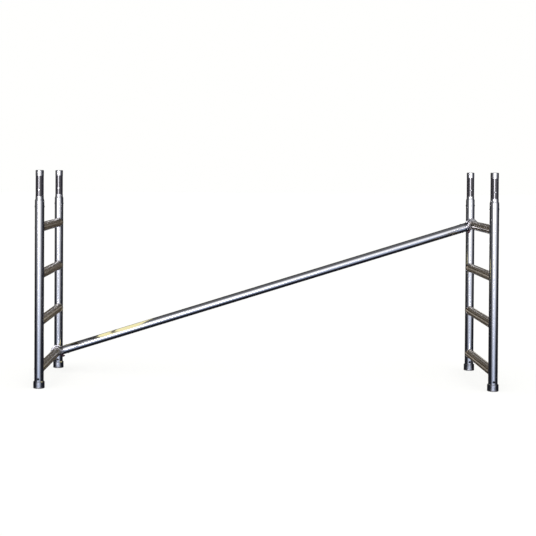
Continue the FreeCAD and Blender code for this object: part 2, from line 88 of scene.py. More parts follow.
# panels of light round the object: azimuth 0 is the front and 90 the right, in degrees
lightPanels = {
    "frontUpper": {"az": 0, "azHalf": 13, "azSoft": 60, "el": 9, "elHalf": 11, "elSoft": 46,
                   "colour": (1.0, 1.0, 1.03), "power": 1.06, "elSoftBelow": 8},
    "frontLower": {"az": 0, "azHalf": 3, "azSoft": 54, "el": -17, "elHalf": 9, "elSoft": 7,
                   "colour": (0.92, 1.04, 1.34), "power": 0.52, "elSoftBelow": 26},
    "keyStrip": {"az": -12.5, "azHalf": 9, "azSoft": 5, "el": 2.4, "elHalf": 3.2, "elSoft": 2,
                 "colour": (1.0, 0.97, 1.05), "power": 10.0, "elSoftBelow": 1.2},
    "rightWall": {"az": 70, "azHalf": 14, "azSoft": 34, "el": 14, "elHalf": 14, "elSoft": 20,
                  "colour": (0.9, 0.95, 1.2), "power": 0.06, "elSoftBelow": 7},
    "leftWall": {"az": -76, "azHalf": 16, "azSoft": 34, "el": 14, "elHalf": 14, "elSoft": 20,
                 "colour": (1.0, 1.0, 0.98), "power": 0.11, "elSoftBelow": 7},
    "backWall": {"az": 180, "azHalf": 18, "azSoft": 14, "el": -1, "elHalf": 9, "elSoft": 8,
                 "colour": (1.0, 0.80, 0.52), "power": 0.085},
    "backTop": {"az": 180, "azHalf": 12, "azSoft": 12, "el": 16, "elHalf": 6, "elSoft": 4,
                "colour": (1.0, 0.96, 0.9), "power": 0.13},
    "backLeftPane": {"az": -167.2, "azHalf": 1.0, "azSoft": 2.0, "el": -3.4, "elHalf": 2.6, "elSoft": 2,
                     "colour": (1.0, 0.97, 0.94), "power": 0.7},
    "backRightPane": {"az": 166.6, "azHalf": 1.2, "azSoft": 2.2, "el": 3.2, "elHalf": 3.4, "elSoft": 2,
                      "colour": (1.0, 0.98, 0.95), "power": 0.8},
    "ceiling": {"az": 0, "azHalf": 180, "azSoft": 1, "el": 90, "elHalf": 22, "elSoft": 20,
                "colour": (1.0, 1.0, 1.0), "power": 0.12},
}
roomTone = (0.012, 0.013, 0.019)  # what the metal mirrors between the panels


def makeCamera(values):
    data = bpy.data.cameras.new("viewCamera")
    data.lens = values["lens"]
    data.shift_x = values["shiftX"]
    data.shift_y = values["shiftY"]
    camera = bpy.data.objects.new("viewCamera", data)
    bpy.context.scene.collection.objects.link(camera)
    turn = Matrix.Rotation(math.radians(values["yaw"]), 4, "Z")
    turn = turn @ Matrix.Rotation(math.radians(values["pitch"]), 4, "X")
    turn = turn @ Matrix.Rotation(math.radians(values["roll"]), 4, "Y")
    turn = turn @ Matrix.Rotation(math.radians(90), 4, "X")
    camera.matrix_world = Matrix.Translation(values["eye"]) @ turn
    bpy.context.scene.camera = camera


def mathNode(tree, kind, *values):
    node = tree.nodes.new("ShaderNodeMath")
    node.operation = kind
    for socket, value in zip(node.inputs, values):
        feed(tree, value, socket)
    return node.outputs[0]


def feed(tree, value, socket):
    # a socket's link, or its own fixed value
    if isinstance(value, bpy.types.NodeSocket):
        tree.links.new(value, socket)
    else:
        socket.default_value = value


def fadeBy(tree, distance, full, gone):
    node = tree.nodes.new("ShaderNodeMapRange")
    node.interpolation_type = "SMOOTHSTEP"
    feed(tree, distance, node.inputs["Value"])
    node.inputs["From Min"].default_value = full
    node.inputs["From Max"].default_value = gone
    node.inputs["To Min"].default_value = 1.0
    node.inputs["To Max"].default_value = 0.0
    return node.outputs["Result"]


def panelMask(tree, azimuth, elevation, panel):
    aside = mathNode(tree, "SUBTRACT", azimuth, panel["az"])
    aside = mathNode(tree, "WRAP", aside, 180.0, -180.0)
    aside = mathNode(tree, "ABSOLUTE", aside)
    across = fadeBy(tree, aside, panel["azHalf"], panel["azHalf"] + panel["azSoft"])
    above = mathNode(tree, "SUBTRACT", elevation, panel["el"])
    below = mathNode(tree, "MULTIPLY", above, -1.0)
    softBelow = panel.get("elSoftBelow", panel["elSoft"])
    top = fadeBy(tree, above, panel["elHalf"], panel["elHalf"] + panel["elSoft"])
    bottom = fadeBy(tree, below, panel["elHalf"], panel["elHalf"] + softBelow)
    return mathNode(tree, "MULTIPLY", across, mathNode(tree, "MULTIPLY", top, bottom))


def makeSurroundings(panels, tone):
    world = bpy.data.worlds.new("studio")
    bpy.context.scene.world = world
    world.use_nodes = True
    tree = world.node_tree
    tree.nodes.clear()
    place = tree.nodes.new("ShaderNodeTexCoord")
    parts = tree.nodes.new("ShaderNodeSeparateXYZ")
    tree.links.new(place.outputs["Generated"], parts.inputs[0])
    behind = mathNode(tree, "MULTIPLY", parts.outputs["Y"], -1.0)
    azimuth = mathNode(tree, "DEGREES", mathNode(tree, "ARCTAN2", parts.outputs["X"], behind))
    elevation = mathNode(tree, "DEGREES", mathNode(tree, "ARCSINE", parts.outputs["Z"]))
    total = None
    for panel in panels.values():
        scale = tree.nodes.new("ShaderNodeVectorMath")
        scale.operation = "SCALE"
        scale.inputs[0].default_value = panel["colour"]
        mask = panelMask(tree, azimuth, elevation, panel)
        tree.links.new(mathNode(tree, "MULTIPLY", mask, panel["power"]), scale.inputs["Scale"])
        add = tree.nodes.new("ShaderNodeVectorMath")
        add.operation = "ADD"
        feed(tree, total or tone, add.inputs[0])
        tree.links.new(scale.outputs[0], add.inputs[1])
        total = add.outputs[0]
    lit = tree.nodes.new("ShaderNodeBackground")
    tree.links.new(total, lit.inputs["Color"])
    plain = tree.nodes.new("ShaderNodeBackground")
    plain.inputs["Color"].default_value = (1.0, 1.0, 0.99, 1.0)
    path = tree.nodes.new("ShaderNodeLightPath")
    choose = tree.nodes.new("ShaderNodeMixShader")
    tree.links.new(path.outputs["Is Camera Ray"], choose.inputs[0])
    tree.links.new(lit.outputs[0], choose.inputs[1])
    tree.links.new(plain.outputs[0], choose.inputs[2])
    out = tree.nodes.new("ShaderNodeOutputWorld")
    tree.links.new(choose.outputs[0], out.inputs["Surface"])
    bpy.context.scene.view_settings.view_transform = "Standard"


# cards over the brace that only its mirror finish shows
warmCards = {
    "along": ((-0.935, 0.085, 0.0), (-0.755, 0.24, 0.6)),  # place along X, length, taper at the far end
    "lift": 0.3,
    "lean": (0.42, 0.91),  # how far the lift takes a card back along X, and up
    "width": 0.95,
    "forward": 0.175,
    "colour": (1.0, 0.91, 0.50),
    "strength": 1.06,
}


def makeWarmCards(values, start, angle):
    glow = bpy.data.materials.new("warmCardGlow")
    glow.use_nodes = True
    tree = glow.node_tree
    tree.nodes.clear()
    facing = tree.nodes.new("ShaderNodeNewGeometry")
    light = tree.nodes.new("ShaderNodeEmission")
    light.inputs["Color"].default_value = (*values["colour"], 1.0)
    light.inputs["Strength"].default_value = values["strength"]
    clear = tree.nodes.new("ShaderNodeBsdfTransparent")
    choose = tree.nodes.new("ShaderNodeMixShader")
    out = tree.nodes.new("ShaderNodeOutputMaterial")
    tree.links.new(facing.outputs["Backfacing"], choose.inputs[0])
    tree.links.new(clear.outputs[0], choose.inputs[1])
    tree.links.new(light.outputs[0], choose.inputs[2])
    tree.links.new(choose.outputs[0], out.inputs["Surface"])
    for number, (x, length, taper) in enumerate(values["along"]):
        bpy.ops.object.select_all(action="DESELECT")
        bpy.ops.mesh.primitive_plane_add(size=1.0)
        card = bpy.context.object
        card.name = f"warmCard{number + 1}"
        card.scale = (length, values["width"], 1.0)
        card.rotation_euler = (0, -angle, 0)
        rise = (x - start.x) * math.tan(angle)
        lift, (back, up) = values["lift"], values["lean"]
        card.location = (x - back * lift, start.y - values["forward"], start.z + rise + up * lift)
        for corner in card.data.vertices:
            if corner.co.x > 0 and corner.co.y < 0:
                corner.co.x -= taper
        card.data.materials.append(glow)
        for seen in ("visible_camera", "visible_diffuse", "visible_shadow"):
            setattr(card, seen, False)


def makeFloor(values, sun):
    bpy.ops.object.select_all(action="DESELECT")
    bpy.ops.mesh.primitive_circle_add(vertices=values["edges"], radius=values["radius"], fill_type="NGON")
    floor = bpy.context.object
    floor.name = "studioFloor"
    paint = bpy.data.materials.new("studioFloorPaint")
    paint.use_nodes = True
    shader = paint.node_tree.nodes["Principled BSDF"]
    shader.inputs["Base Color"].default_value = (*values["colour"], 1.0)
    shader.inputs["Roughness"].default_value = values["roughness"]
    shader.inputs["Specular IOR Level"].default_value = 0.0
    shader.inputs["Emission Color"].default_value = (1.0, 1.0, 0.985, 1.0)
    shader.inputs["Emission Strength"].default_value = values["glow"]
    floor.data.materials.append(paint)
    floor.visible_glossy = False
    data = bpy.data.lights.new("fillSun", "SUN")
    data.energy = sun["energy"]
    data.angle = math.radians(sun["spread"])
    lamp = bpy.data.objects.new("fillSun", data)
    lamp.rotation_euler = (math.radians(sun["tilt"]), 0, 0)
    lamp.visible_glossy = False
    bpy.context.scene.collection.objects.link(lamp)


makeCamera(cameraValues)
makeSurroundings(lightPanels, roomTone)
makeFloor(floorValues, fillSun)
makeWarmCards(warmCards, Vector((middle(rungLow).x, braceMiddle, middle(rungLow).z)), math.radians(slope))
print("camera, floor and light ready")


def newGroup(name, inputs, outputs):
    group = bpy.data.node_groups.new(name, "ShaderNodeTree")
    for label, kind, value in inputs:
        socket = group.interface.new_socket(name=label, in_out="INPUT", socket_type=kind)
        if value is not None:
            socket.default_value = value
    for label, kind in outputs:
        group.interface.new_socket(name=label, in_out="OUTPUT", socket_type=kind)
    entry = group.nodes.new("NodeGroupInput")
    leave = group.nodes.new("NodeGroupOutput")
    return group, entry.outputs, leave.inputs


def noise(tree, vector, scale, detail=3.0, roughness=0.5, distortion=0.0):
    node = tree.nodes.new("ShaderNodeTexNoise")
    tree.links.new(vector, node.inputs["Vector"])
    feed(tree, scale, node.inputs["Scale"])
    node.inputs["Detail"].default_value = detail
    node.inputs["Roughness"].default_value = roughness
    node.inputs["Distortion"].default_value = distortion
    return node.outputs["Fac"]


def stretched(tree, vector, scale):
    node = tree.nodes.new("ShaderNodeVectorMath")
    node.operation = "MULTIPLY"
    tree.links.new(vector, node.inputs[0])
    node.inputs[1].default_value = scale
    return node.outputs[0]


def remap(tree, value, low, high, outLow=0.0, outHigh=1.0, smooth=True):
    node = tree.nodes.new("ShaderNodeMapRange")
    node.interpolation_type = "SMOOTHSTEP" if smooth else "LINEAR"
    feed(tree, value, node.inputs["Value"])
    for label, amount in (("From Min", low), ("From Max", high), ("To Min", outLow), ("To Max", outHigh)):
        feed(tree, amount, node.inputs[label])
    return node.outputs["Result"]


def makeDrawnGroup():
    # fine lines that a die leaves along a tube; the group's Vector has Z along the tube
    group, given, out = newGroup("drawnLines", [
        ("Vector", "NodeSocketVector", None),
        ("Lines", "NodeSocketFloat", 900.0),
    ], [("Height", "NodeSocketFloat"), ("Broad", "NodeSocketFloat")])
    fineVector = stretched(group, given["Vector"], (1.0, 1.0, 0.006))
    fine = noise(group, fineVector, given["Lines"], 4.0, 0.65)
    broad = noise(group, stretched(group, given["Vector"], (1.0, 1.0, 0.02)), 120.0, 2.0)
    fine = remap(group, fine, 0.3, 0.7, smooth=False)
    broad = remap(group, broad, 0.3, 0.7, smooth=False)
    height = mathNode(group, "MULTIPLY_ADD", broad, 0.6, fine)
    group.links.new(height, out["Height"])
    group.links.new(broad, out["Broad"])
    return group


def makeHandlingGroup():
    # scuffs across a surface, smudges from hands, and small dents
    group, given, out = newGroup("handling", [
        ("Vector", "NodeSocketVector", None),
        ("Size", "NodeSocketFloat", 1.0),
        ("Amount", "NodeSocketFloat", 0.5),
    ], [("Scuff", "NodeSocketFloat"), ("Smudge", "NodeSocketFloat"), ("Dent", "NodeSocketFloat")])
    sized = group.nodes.new("ShaderNodeVectorMath")
    sized.operation = "SCALE"
    group.links.new(given["Vector"], sized.inputs[0])
    group.links.new(given["Size"], sized.inputs["Scale"])
    spot = sized.outputs[0]
    lines = noise(group, stretched(group, spot, (1.0, 1.0, 2.4)), 46.0, 2.0, 0.4, 1.6)
    ridge = mathNode(group, "ABSOLUTE", mathNode(group, "SUBTRACT", lines, 0.5))
    ridge = remap(group, ridge, 0.0, 0.006, 1.0, 0.0)
    patch = remap(group, noise(group, spot, 9.0, 3.0), 0.5, 0.66)
    scuff = mathNode(group, "MULTIPLY", mathNode(group, "MULTIPLY", ridge, patch), given["Amount"])
    smudge = remap(group, noise(group, spot, 14.0, 5.0, 0.62, 0.4), 0.42, 0.72)
    dent = remap(group, noise(group, spot, 22.0, 1.0), 0.62, 0.82)
    group.links.new(scuff, out["Scuff"])
    group.links.new(mathNode(group, "MULTIPLY", smudge, given["Amount"]), out["Smudge"])
    group.links.new(dent, out["Dent"])
    return group


def makeGrainGroup():
    # the pebbled skin of a sand casting or a dipped finish
    group, given, out = newGroup("castGrain", [
        ("Vector", "NodeSocketVector", None),
        ("Scale", "NodeSocketFloat", 900.0),
    ], [("Height", "NodeSocketFloat"), ("Patch", "NodeSocketFloat")])
    grain = noise(group, given["Vector"], given["Scale"], 3.0, 0.6)
    pits = noise(group, given["Vector"], 260.0, 2.0)
    pits = remap(group, pits, 0.3, 0.42, -0.8, 0.0)
    group.links.new(mathNode(group, "ADD", grain, pits), out["Height"])
    group.links.new(remap(group, noise(group, given["Vector"], 60.0, 4.0), 0.35, 0.68), out["Patch"])
    return group


drawnLines = makeDrawnGroup()
handling = makeHandlingGroup()
castGrain = makeGrainGroup()
print("shared effects ready")


def startMaterial(name, metallic, extra=None):
    material = bpy.data.materials.new(name)
    material.use_nodes = True
    shader = material.node_tree.nodes["Principled BSDF"]
    shader.inputs["Metallic"].default_value = metallic
    for label, value in (extra or {}).items():
        shader.inputs[label].default_value = value
    return material, material.node_tree, shader


def objectVector(tree, turn=(0.0, 0.0, 0.0)):
    # the piece's own coordinates, turned so that Z lies along it
    place = tree.nodes.new("ShaderNodeTexCoord")
    mapping = tree.nodes.new("ShaderNodeMapping")
    mapping.vector_type = "TEXTURE"
    mapping.inputs["Rotation"].default_value = [math.radians(angle) for angle in turn]
    tree.links.new(place.outputs["Object"], mapping.inputs["Vector"])
    return mapping.outputs[0]


def useGroup(tree, group, vector, **values):
    node = tree.nodes.new("ShaderNodeGroup")
    node.node_tree = group
    tree.links.new(vector, node.inputs["Vector"])
    for label, value in values.items():
        feed(tree, value, node.inputs[label])
    return node.outputs


def mixColour(tree, mask, first, second):
    node = tree.nodes.new("ShaderNodeMix")
    node.data_type = "RGBA"
    sockets = [s for s in node.inputs if s.type == "RGBA"]
    feed(tree, mask, node.inputs[0])
    for socket, colour in zip(sockets, (first, second)):
        feed(tree, colour if isinstance(colour, bpy.types.NodeSocket) else (*colour, 1.0), socket)
    return next(s for s in node.outputs if s.type == "RGBA")


def addBump(tree, shader, height, distance, strength=1.0):
    bump = tree.nodes.new("ShaderNodeBump")
    bump.inputs["Strength"].default_value = strength
    bump.inputs["Distance"].default_value = distance
    feed(tree, height, bump.inputs["Height"])
    tree.links.new(bump.outputs["Normal"], shader.inputs["Normal"])


def drawnMetal(name, values):
    # a drawn tube: lines along it, smudges that dull it, and scuffs that brighten and roughen it
    material, tree, shader = startMaterial(name, 1.0)
    vector = objectVector(tree, values["turn"])
    lines = useGroup(tree, drawnLines, vector, Lines=values["lines"])
    marks = useGroup(tree, handling, vector, Size=values["markSize"], Amount=values["wear"])
    colour = mixColour(tree, lines["Broad"], values["colour"], values["streak"])
    colour = mixColour(tree, marks["Smudge"], colour, values["dull"])
    tree.links.new(mixColour(tree, marks["Scuff"], colour, values["bright"]), shader.inputs["Base Color"])
    rough = mathNode(tree, "MULTIPLY_ADD", lines["Broad"], values["roughStreak"], values["roughness"])
    rough = mathNode(tree, "MULTIPLY_ADD", marks["Smudge"], values["roughSmudge"], rough)
    rough = mathNode(tree, "MULTIPLY_ADD", marks["Scuff"], values["roughScuff"], rough)
    tree.links.new(rough, shader.inputs["Roughness"])
    height = mathNode(tree, "MULTIPLY_ADD", marks["Scuff"], -2.0, lines["Height"])
    height = mathNode(tree, "MULTIPLY_ADD", marks["Dent"], values["dent"], height)
    addBump(tree, shader, height, values["lineDepth"])
    return material


uprightFinish = {
    "colour": (0.90, 0.905, 0.925),
    "streak": (0.83, 0.835, 0.86),
    "dull": (0.74, 0.745, 0.77),
    "bright": (0.97, 0.97, 0.98),
    "turn": (0.0, 0.0, 0.0),
    "lines": 1500.0,
    "markSize": 1.0,
    "wear": 0.32,
    "roughness": 0.10,
    "roughStreak": 0.03,
    "roughSmudge": 0.07,
    "roughScuff": 0.2,
    "lineDepth": 0.000012,
    "dent": -3.0,
}

braceFinish = dict(uprightFinish, turn=(0.0, 90.0 - slope, 0.0), wear=0.35, markSize=0.8)

spigotFinish = dict(uprightFinish, colour=(0.93, 0.93, 0.94), streak=(0.88, 0.88, 0.9), wear=0.6,
                    markSize=1.6, roughness=0.16)

# rung colours: bare aluminium darkened and tinted brown, a painted shade and a painted reflection of warm
# surroundings; the streaks, smudges and scuffs they colour are real wear
rungPaintedShadeAndReflection = {
    "colour": (0.37, 0.315, 0.235),
    "streak": (0.31, 0.26, 0.19),
    "dull": (0.25, 0.21, 0.155),
    "bright": (0.56, 0.51, 0.44),
    "turn": (90.0, 0.0, 0.0),
    "lines": 1100.0,
    "markSize": 1.3,
    "wear": 0.5,
    "roughness": 0.13,
    "roughStreak": 0.03,
    "roughSmudge": 0.04,
    "roughScuff": 0.1,
    "lineDepth": 0.000012,
    "dent": -2.0,
}


collarFinish = {
    "colour": (0.80, 0.80, 0.82),
    "worn": (0.40, 0.40, 0.42),
    "ringScale": 2600.0,
    "ringDepth": 0.00002,
    "roughness": 0.13,
    "wornHeight": 0.012,  # how far up from the floor it is knocked about
    "markSize": 2.2,
    "wear": 0.8,
}


def collarMetal(values):
    # turned on a lathe: rings round it, and a scraped lower rim
    material, tree, shader = startMaterial("collarTurned", 1.0)
    vector = objectVector(tree)
    rings = noise(tree, stretched(tree, vector, (0.02, 0.02, 1.0)), values["ringScale"], 2.0)
    marks = useGroup(tree, handling, vector, Size=values["markSize"], Amount=values["wear"])
    height = tree.nodes.new("ShaderNodeSeparateXYZ")
    tree.links.new(vector, height.inputs[0])
    ragged = mathNode(tree, "MULTIPLY", noise(tree, vector, 140.0, 4.0), values["wornHeight"])
    low = mathNode(tree, "SUBTRACT", height.outputs["Z"], ragged)
    worn = remap(tree, low, 0.0, values["wornHeight"] * 0.4, 1.0, 0.0)
    worn = mathNode(tree, "MAXIMUM", worn, marks["Scuff"])
    colour = mixColour(tree, marks["Smudge"], values["colour"], values["worn"])
    tree.links.new(mixColour(tree, worn, colour, values["worn"]), shader.inputs["Base Color"])
    rough = mathNode(tree, "MULTIPLY_ADD", worn, 0.25, values["roughness"])
    tree.links.new(mathNode(tree, "MULTIPLY_ADD", rings, 0.06, rough), shader.inputs["Roughness"])
    addBump(tree, shader, mathNode(tree, "MULTIPLY_ADD", worn, -1.5, rings), values["ringDepth"])
    return material


sleeveFinish = {
    "colour": (0.020, 0.018, 0.024),
    "rubbed": (0.05, 0.045, 0.055),
    "roughness": 0.06,
    "rubbedRoughness": 0.26,
    "lineDepth": 0.000006,
    "lines": 700.0,
    "coat": 1.0,
    "coatRoughness": 0.04,
    "specular": 0.9,
}


def sleevePlastic(values):
    # black gloss with lines where sockets slide over it
    material, tree, shader = startMaterial("sleeveGlossBlack", 0.0, {
        "Coat Weight": values["coat"],
        "Coat Roughness": values["coatRoughness"],
        "Specular IOR Level": values["specular"],
    })
    vector = objectVector(tree)
    lines = useGroup(tree, drawnLines, vector, Lines=values["lines"])
    marks = useGroup(tree, handling, vector, Size=2.4, Amount=1.0)
    rubbed = remap(tree, lines["Height"], 1.15, 1.5)
    rubbed = mathNode(tree, "MULTIPLY", rubbed, marks["Smudge"])
    tree.links.new(mixColour(tree, rubbed, values["colour"], values["rubbed"]), shader.inputs["Base Color"])
    rough = remap(tree, rubbed, 0.0, 1.0, values["roughness"], values["rubbedRoughness"])
    tree.links.new(rough, shader.inputs["Roughness"])
    addBump(tree, shader, lines["Height"], values["lineDepth"])
    return material


castFinish = {
    "colour": (0.45, 0.445, 0.46),
    "patch": (0.33, 0.325, 0.34),
    "scraped": (0.94, 0.94, 0.94),
    "grain": 1300.0,
    "grainDepth": 0.00006,
    "roughness": 0.20,
    "roughPatch": 0.10,
    "wear": 0.9,
}


def castMetal(name, values):
    # tumbled casting: pebbled skin, darker patches, scraped bright where it is knocked
    material, tree, shader = startMaterial(name, 1.0)
    vector = objectVector(tree)
    skin = useGroup(tree, castGrain, vector, Scale=values["grain"])
    marks = useGroup(tree, handling, vector, Size=3.0, Amount=values["wear"])
    colour = mixColour(tree, skin["Patch"], values["colour"], values["patch"])
    tree.links.new(mixColour(tree, marks["Scuff"], colour, values["scraped"]), shader.inputs["Base Color"])
    rough = mathNode(tree, "MULTIPLY_ADD", skin["Patch"], values["roughPatch"], values["roughness"])
    rough = mathNode(tree, "MULTIPLY_ADD", marks["Smudge"], 0.08, rough)
    tree.links.new(rough, shader.inputs["Roughness"])
    height = mathNode(tree, "MULTIPLY_ADD", marks["Scuff"], -0.6, skin["Height"])
    addBump(tree, shader, height, values["grainDepth"])
    return material


weldFinish = dict(castFinish, colour=(0.80, 0.80, 0.82), patch=(0.60, 0.59, 0.58), roughness=0.2,
                  roughPatch=0.18, grain=700.0, grainDepth=0.00003, wear=0.3)
rivetFinish = dict(castFinish, colour=(0.84, 0.84, 0.85), patch=(0.70, 0.70, 0.71), roughness=0.22,
                   grain=1800.0, grainDepth=0.00002, wear=0.6)
pinFinish = dict(castFinish, colour=(0.62, 0.63, 0.66), patch=(0.48, 0.49, 0.50), roughness=0.28,
                 grain=2000.0, grainDepth=0.00002, wear=0.5)
springFinish = dict(castFinish, colour=(0.32, 0.33, 0.38), patch=(0.20, 0.20, 0.24), roughness=0.25,
                    grain=1500.0, grainDepth=0.00002, wear=0.4)
buttonFinish = dict(castFinish, colour=(0.93, 0.93, 0.94), patch=(0.86, 0.86, 0.88), roughness=0.1,
                    roughPatch=0.05, grain=2600.0, grainDepth=0.000006, wear=0.8)


enamelFinish = {
    "colour": (0.050, 0.006, 0.012),
    "deep": (0.022, 0.006, 0.014),
    "chipped": (0.42, 0.41, 0.40),
    "roughness": 0.3,
    "coat": 0.15,
    "coatRoughness": 0.12,
    "grain": 700.0,
    "grainDepth": 0.00005,
}


def triggerEnamel(values):
    # dark red enamel over steel, with small chips
    material, tree, shader = startMaterial("triggerEnamel", 0.0, {
        "Coat Weight": values["coat"],
        "Coat Roughness": values["coatRoughness"],
    })
    vector = objectVector(tree)
    skin = useGroup(tree, castGrain, vector, Scale=values["grain"])
    marks = useGroup(tree, handling, vector, Size=6.0, Amount=1.0)
    colour = mixColour(tree, skin["Patch"], values["colour"], values["deep"])
    tree.links.new(mixColour(tree, marks["Scuff"], colour, values["chipped"]), shader.inputs["Base Color"])
    rough = mathNode(tree, "MULTIPLY_ADD", marks["Smudge"], 0.2, values["roughness"])
    tree.links.new(rough, shader.inputs["Roughness"])
    height = mathNode(tree, "MULTIPLY_ADD", marks["Scuff"], -0.5, skin["Height"])
    addBump(tree, shader, height, values["grainDepth"])
    return material


finishes = {
    "upright_tube": drawnMetal("uprightPolished", uprightFinish),
    "brace_tube": drawnMetal("bracePolished", braceFinish),
    "spigot_tube": drawnMetal("spigotPolished", spigotFinish),
    # the rung material carries painted shade and a painted brown reflection in its base colours
    "rung_tube": drawnMetal("rungMillPaintedShade", rungPaintedShadeAndReflection),
    "foot_collar": collarMetal(collarFinish),
    "spigot_sleeve": sleevePlastic(sleeveFinish),
    "claw_casting": castMetal("clawCast", castFinish),
    "weld": castMetal("weldBead", weldFinish),
    "rivet": castMetal("rivetSatin", rivetFinish),
    "trigger_pin": castMetal("pinZinc", pinFinish),
    "trigger_spring": castMetal("coilSteel", springFinish),
    "snap_spring": castMetal("stripSteel", springFinish),
    "snap_button": castMetal("buttonPlated", buttonFinish),
    "trigger": triggerEnamel(enamelFinish),
}
print("materials ready:", len(finishes))


def dress(piece, slotName):
    piece.data.materials.clear()
    piece.data.materials.append(finishes[slotName])


for part in frame["record"]["subparts"]:
    dress(frame["nodes"][part["node"]], part["material_slot"])
print("CAD nodes dressed")

def alone(piece):
    bpy.ops.object.select_all(action="DESELECT")
    piece.select_set(True)
    bpy.context.view_layer.objects.active = piece


def turnedBar(profile, edges):
    # a bar along Z: one extrusion and one resize for each (height, radius) of its profile
    bpy.ops.object.select_all(action="DESELECT")
    height, radius = profile[0]
    bpy.ops.mesh.primitive_circle_add(vertices=edges, radius=radius, fill_type="NGON",
                                      location=(0, 0, height))
    piece = bpy.context.object
    bpy.ops.object.transform_apply(location=True, rotation=False, scale=False)
    bpy.ops.object.mode_set(mode="EDIT")
    bpy.ops.mesh.select_all(action="SELECT")
    for nextHeight, nextRadius in profile[1:]:
        bpy.ops.mesh.extrude_region_move(TRANSFORM_OT_translate={"value": (0, 0, nextHeight - height)})
        wider = nextRadius / radius
        bpy.ops.transform.resize(value=(wider, wider, 1.0))
        height, radius = nextHeight, nextRadius
    outward()
    return piece


def outward():
    # leaves edit mode with all normals facing out
    bpy.ops.mesh.select_all(action="SELECT")
    bpy.ops.mesh.normals_make_consistent(inside=False)
    bpy.ops.object.mode_set(mode="OBJECT")


def tracedPlate(corners, width, rounding=0.0):
    # an outline traced corner by corner in the XZ plane, filled, and drawn out along Y
    bpy.ops.object.select_all(action="DESELECT")
    bpy.ops.mesh.primitive_plane_add(size=0.001)
    piece = bpy.context.object
    bpy.ops.object.mode_set(mode="EDIT")
    bpy.ops.mesh.select_mode(type="VERT")
    bpy.ops.mesh.select_all(action="SELECT")
    bpy.ops.mesh.merge(type="CENTER")
    bpy.ops.transform.translate(value=(corners[0][0], -width / 2, corners[0][1]))
    for here, there in zip(corners, corners[1:]):
        step = (there[0] - here[0], 0, there[1] - here[1])
        bpy.ops.mesh.extrude_region_move(TRANSFORM_OT_translate={"value": step})
    bpy.ops.mesh.select_all(action="SELECT")
    bpy.ops.mesh.edge_face_add()
    bpy.ops.mesh.extrude_region_move(TRANSFORM_OT_translate={"value": (0, width, 0)})
    if rounding:
        bpy.ops.mesh.select_all(action="SELECT")
        bpy.ops.mesh.bevel(offset=rounding, segments=3, affect="EDGES")
    outward()
    return piece


def settle(piece, turn=(0, 0, 0), place=(0, 0, 0), size=(1, 1, 1)):
    alone(piece)
    piece.rotation_euler = [math.radians(angle) for angle in turn]
    piece.location = place
    piece.scale = size
    bpy.ops.object.transform_apply(location=True, rotation=True, scale=True)
    if min(size) < 0:
        bpy.ops.object.mode_set(mode="EDIT")
        outward()
    return piece


def combine(piece, other, operation):
    change = piece.modifiers.new("combine", "BOOLEAN")
    change.operation = operation
    change.solver = "EXACT"
    change.object = other
    alone(piece)
    bpy.ops.object.modifier_apply(modifier=change.name)
    bpy.data.objects.remove(other)


def softenEdges(piece, width, angle=35):
    alone(piece)
    bpy.ops.object.mode_set(mode="EDIT")
    bpy.ops.mesh.select_all(action="SELECT")
    bpy.ops.mesh.remove_doubles(threshold=0.00002)
    outward()
    edge = piece.modifiers.new("edge", "BEVEL")
    edge.width = width
    edge.segments = 2
    edge.limit_method = "ANGLE"
    edge.angle_limit = math.radians(angle)
    edge.use_clamp_overlap = True
    bpy.ops.object.modifier_apply(modifier=edge.name)
    smoothed(piece, angle)


def smoothed(piece, angle=35):
    alone(piece)
    bpy.ops.object.shade_smooth_by_angle(angle=math.radians(angle))


def ownCopy(piece):
    twin = piece.copy()
    twin.data = piece.data.copy()
    bpy.context.scene.collection.objects.link(twin)
    return twin


def drilled(piece, radius, along, place):
    # a straight hole of the given radius through place
    reach, edges = 0.2, 40
    drill = turnedBar([(-reach, radius), (reach, radius)], edges)
    turns = {"X": (0, 90, 0), "Y": (-90, 0, 0), "Z": (0, 0, 0)}
    combine(piece, settle(drill, turns[along], place), "DIFFERENCE")


clawEnds = {
    "low": {"place": Vector((middle(rungLow).x, braceMiddle, middle(rungLow).z)), "side": 1},
    "high": {"place": Vector((middle(rungHigh).x, braceMiddle, middle(rungHigh).z)), "side": -1},
}

clawShape = {
    "edges": 88,
    "barrel": 0.0330,  # radii
    "flange": 0.0382,
    "groove": 0.0308,
    "rim": 0.0016,
    "flangeWidth": 0.012,
    "grooveWidth": 0.004,
    "bore": 0.0262,
    "neckEnd": 0.046,  # along the brace, from the rung's axis
    "plug": 0.0222,
    "plugEnd": 0.088,
    "plugBore": 0.0172,
    "plugBoreStart": 0.051,
    "plugBoreEdges": 48,
    "plugChamfer": 0.002,
    "mouthReach": 0.078,
    "armLow": 0.012,
    "slot": (0.0127, 0.0439, -0.0041, -0.0508, 0.0148),  # from, to, top, bottom, width
    "shoulderStep": 0.00001,  # keeps a square shoulder a face of its own
    "through": 0.2,  # reach of the cuts that go right through
    "pivot": (0.037, -0.011),
    "pinHole": 0.00305,
    "rivetAt": 0.066,
    "rivetHole": 0.0025,
    "softEdge": 0.0009,
}


